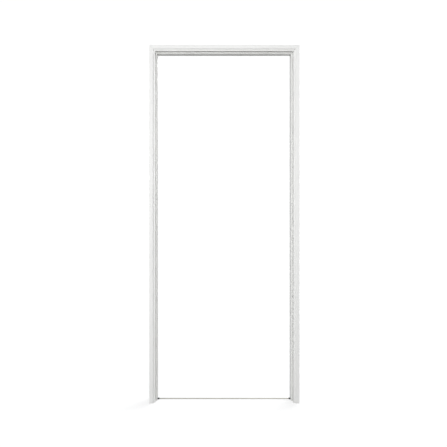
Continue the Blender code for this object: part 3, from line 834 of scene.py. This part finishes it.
# Reinforcement screws
# Zinc-plated self-drilling screws with pan heads and cross recesses hold each tube. They are driven from
# the wall side through the floor of a channel, so that no head stands past the bar.
PAN_HEAD_RADIUS = 0.0042
PAN_HEAD_HEIGHT = 0.0024
PAN_HEAD_RIM = 0.0007
PAN_HEAD_FLAT = 0.0005
PAN_HEAD_ARRIS = 0.0002
DOME_STEPS = 8
DOME_FULLNESS = 0.8
PAN_SCREW_LENGTH = 0.0184
CORE_RADIUS = 0.0015
THREAD_HEIGHT = 0.0006
THREAD_PITCH = 0.0014
THREAD_ROWS = 7
THREAD_STEEPNESS = 2.4
SCREW_SIDES = 28
SCREW_SHARP_DEGREES = 40
POINT_LENGTH = 0.0040
POINT_END_RADIUS = 0.0002
RECESS_REACH = 0.0021
RECESS_WIDTH = 0.0011
RECESS_DEPTH = 0.0019
RECESS_TAPER = ((1.0, 0.16), (0.8, 0.42), (0.0, 1.0))
RECESS_TOP = (0.0004, 1.1)
PLATE_BRIGHT = "#D3D6D8"
PLATE_DULL = "#BFC2C3"
PLATE_ROUGHNESS = (0.21, 0.37)
BLOOM_WIDTH = 0.0011


def screw_profile(head, shank_top, length):
    """Radii and heights of a screw read upwards: its point, a core row by row, then its head."""
    rows = int(round((length - POINT_LENGTH + shank_top) / THREAD_PITCH * THREAD_ROWS))
    core = np.linspace(POINT_LENGTH - length, shank_top, rows + 1)
    point = [(POINT_END_RADIUS, -length)]
    return point + [(CORE_RADIUS, height) for height in core] + head


def thread(shank_top, length):
    """Thread for a screw, as the wobble of a lathed profile.

    With p the part of height / pitch - turn past its whole number, the radius grows by the V-shaped ridge
    1 - steepness |2p - 1| wherever that is above 0, and the ridge runs out at the top of the shank.
    """
    shank_end = POINT_LENGTH - length

    def ridged(radius, height, turn):
        phase = (height / THREAD_PITCH - turn) % 1
        ridge = np.clip(1 - THREAD_STEEPNESS * np.abs(2 * phase - 1), 0, 1)
        runout = np.clip((shank_top - height) / THREAD_PITCH, 0, 1) * (height >= shank_end)
        return radius + THREAD_HEIGHT * ridge * runout

    return ridged


def cross_cutter(reach, width, depth):
    """A cross that tapers downwards: one twelve-cornered outline, scaled as the taper says at each depth."""
    arm = width / 2
    quarter = np.array([(reach, -arm), (reach, arm), (arm, arm)])
    angles = np.arange(4) * np.pi / 2
    turns = [np.array([(np.cos(a), -np.sin(a)), (np.sin(a), np.cos(a))]) for a in angles]
    outline = np.concatenate([quarter @ turn.T for turn in turns])
    levels = np.array([(-share * depth, scale) for share, scale in RECESS_TAPER] + [RECESS_TOP])
    rings = np.empty((len(levels), len(outline), 3))
    rings[..., :2] = outline * levels[:, 1, None, None]
    rings[..., 2] = levels[:, :1]
    return ringed("cross", rings)


def screw_mesh(name, head, shank_top, length):
    """A whole screw along Z with the top of its head at the origin."""
    body = lathed(name, screw_profile(head, shank_top, length), SCREW_SIDES, thread(shank_top, length))
    blank = bpy.data.objects.new(name, body)
    bpy.context.scene.collection.objects.link(blank)
    cut_away(blank, [cross_cutter(RECESS_REACH, RECESS_WIDTH, RECESS_DEPTH)])
    finished = blank.data
    bpy.data.objects.remove(blank, do_unlink=True)
    return finished


swing = np.linspace(0, np.pi / 2, DOME_STEPS + 1)[:-1]
pan_dome = list(zip(
    PAN_HEAD_FLAT + (PAN_HEAD_RADIUS - PAN_HEAD_FLAT) * np.cos(swing) ** DOME_FULLNESS,
    -PAN_HEAD_HEIGHT + PAN_HEAD_RIM + (PAN_HEAD_HEIGHT - PAN_HEAD_RIM) * np.sin(swing),
))
pan_head = [
    (PAN_HEAD_RADIUS - PAN_HEAD_ARRIS, -PAN_HEAD_HEIGHT),
    (PAN_HEAD_RADIUS, -PAN_HEAD_HEIGHT + PAN_HEAD_ARRIS),
    *pan_dome,
    (PAN_HEAD_FLAT, 0),
]
pan_screw = screw_mesh("pan_head_screw", pan_head, -PAN_HEAD_HEIGHT, PAN_SCREW_LENGTH)

# Electroplated zinc is a thin, bright and even metal skin, with a milky bloom from spot to spot.
plate = bpy.data.materials.new("bright_zinc_plate")
plate.use_nodes = True
tree = plate.node_tree
shader = tree.nodes["Principled BSDF"]
shader.inputs["Metallic"].default_value = 1.0
place = add_node(tree, "ShaderNodeTexCoord").outputs["Object"]
bloom = add_node(tree, "ShaderNodeTexNoise", None, {
    "Vector": place, "Scale": 1 / BLOOM_WIDTH, "Detail": 3.0,
})
bloomed = add_node(tree, "ShaderNodeMix", {"data_type": "RGBA"}, {
    0: bloom.outputs[0], 6: linear(PLATE_BRIGHT), 7: linear(PLATE_DULL),
})
bloom_gloss = add_node(tree, "ShaderNodeMapRange", None, {
    "Value": bloom.outputs[0], "To Min": PLATE_ROUGHNESS[0], "To Max": PLATE_ROUGHNESS[1],
})
tree.links.new(bloomed.outputs[2], shader.inputs["Base Color"])
tree.links.new(bloom_gloss.outputs[0], shader.inputs["Roughness"])

GOLDEN_TURN = np.pi * (3 - np.sqrt(5))


def drive_screws(nodes, mesh, sink):
    """Puts a copy of a screw in each node's place, its recess turned on by a golden turn from the last."""
    for index, node in enumerate(nodes):
        point, outward = screw_seat(node)
        copy = placed(mesh, node, point - outward * sink, outward, index * GOLDEN_TURN)
        screw = shown_piece("driven_" + node, copy, plate)
        smooth_lands(screw, SCREW_SHARP_DEGREES)
        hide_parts(node)
        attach(screw, "root")


drive_screws(reinforcement_screws, pan_screw, 0.0)

# Corner brackets
# Two angles of galvanised square tube sit in each mitre, one behind the front face and one inside the
# back face. Their legs slide into the bars' corner chambers and draw the joint shut.
for corner_name in ("left", "right"):
    for place_name in ("front", "back"):
        dressed("corner_bracket_" + corner_name + "_" + place_name, galvanised)

# Bracket screws
# A zinc-plated countersunk screw holds each leg of each bracket from the wall side, and its head is driven
# a hair below the skin of the bar.
FLAT_HEAD_RADIUS = 0.0038
FLAT_HEAD_RIM = 0.0002
FLAT_HEAD_ARRIS = 0.00005
FLAT_SCREW_LENGTH = 0.013
FLAT_SCREW_SINK = 0.00006

flat_head = [
    (FLAT_HEAD_RADIUS, -FLAT_HEAD_RIM),
    (FLAT_HEAD_RADIUS, -FLAT_HEAD_ARRIS),
    (FLAT_HEAD_RADIUS - FLAT_HEAD_ARRIS, 0),
]
flat_shank_top = CORE_RADIUS - FLAT_HEAD_RADIUS - FLAT_HEAD_RIM
flat_screw = screw_mesh("flat_head_screw", flat_head, flat_shank_top, FLAT_SCREW_LENGTH)
drive_screws(bracket_screws, flat_screw, FLAT_SCREW_SINK)

# Tie bar clips
# A clip moulded in black nylon slides up into the notch in the inner side of each foot and holds the end
# of the tie bar. Handling greys it a little, and the mould leaves a fine matt grain, drawn coarser here.
NYLON_BLACK = "#2E2E2F"
NYLON_WORN = "#3A3A3B"
NYLON_IOR = 1.53
NYLON_ROUGHNESS = 0.46
WEAR_WIDTH = 0.0045
NYLON_GRAIN = 0.0003
NYLON_GRAIN_DEPTH = 0.00003

nylon = bpy.data.materials.new("moulded_black_nylon")
nylon.use_nodes = True
tree = nylon.node_tree
shader = tree.nodes["Principled BSDF"]
shader.inputs["IOR"].default_value = NYLON_IOR
shader.inputs["Roughness"].default_value = NYLON_ROUGHNESS
place = add_node(tree, "ShaderNodeTexCoord").outputs["Object"]
wear = add_node(tree, "ShaderNodeTexNoise", None, {
    "Vector": place, "Scale": 1 / WEAR_WIDTH, "Detail": 3.0,
})
grain = add_node(tree, "ShaderNodeTexNoise", None, {
    "Vector": place, "Scale": 1 / NYLON_GRAIN, "Detail": 1.0,
})
worn = add_node(tree, "ShaderNodeMix", {"data_type": "RGBA"}, {
    0: wear.outputs[0], 6: linear(NYLON_BLACK), 7: linear(NYLON_WORN),
})
grain_bump = add_node(tree, "ShaderNodeBump", None, {
    "Height": grain.outputs[0], "Strength": 0.35, "Distance": NYLON_GRAIN_DEPTH,
})
tree.links.new(worn.outputs[2], shader.inputs["Base Color"])
tree.links.new(grain_bump.outputs[0], shader.inputs["Normal"])
for side in ("left", "right"):
    dressed("tie_bar_clip_" + side, nylon)

# Tie bar
# A flat bar of galvanised steel lies just off the floor between the two clips and keeps the feet the right
# distance apart. Its long edges are rolled round, and its zinc has weathered to a dull, faintly warm grey.
TIE_BAR_RADIUS = 0.0006
TIE_BAR_ARRIS = 0.0001
TIE_BAR_SPANGLE = 0.0035
ZINC_DULL = ("#A09F96", "#898980")
ZINC_DULL_ROUGHNESS = (0.44, 0.62)

tie_low, tie_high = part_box("tie_bar")
tie_middle = (tie_low + tie_high) / 2
tie_half = (tie_high - tie_low) / 2
tie_run = (
    Vector((tie_low.x, tie_middle.y, tie_middle.z)),
    Vector((0, 0, -1)),
    Vector((1, 0, 0)),
    2 * tie_half.x,
    None,
    None,
)
tie_outline = rounded_box(-tie_half.z, -tie_half.y, tie_half.z, tie_half.y, TIE_BAR_RADIUS)
tie_bar = shown_piece(
    "galvanised_tie_bar",
    swept_bar("tie_bar", tie_outline, [], tie_run, sawn_ends(tie_run), TIE_BAR_ARRIS),
    galvanised_skin("weathered_galvanised_flat_bar", TIE_BAR_SPANGLE, ZINC_DULL, ZINC_DULL_ROUGHNESS),
)
smooth_lands(tie_bar)
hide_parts("tie_bar")
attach(tie_bar, "root")
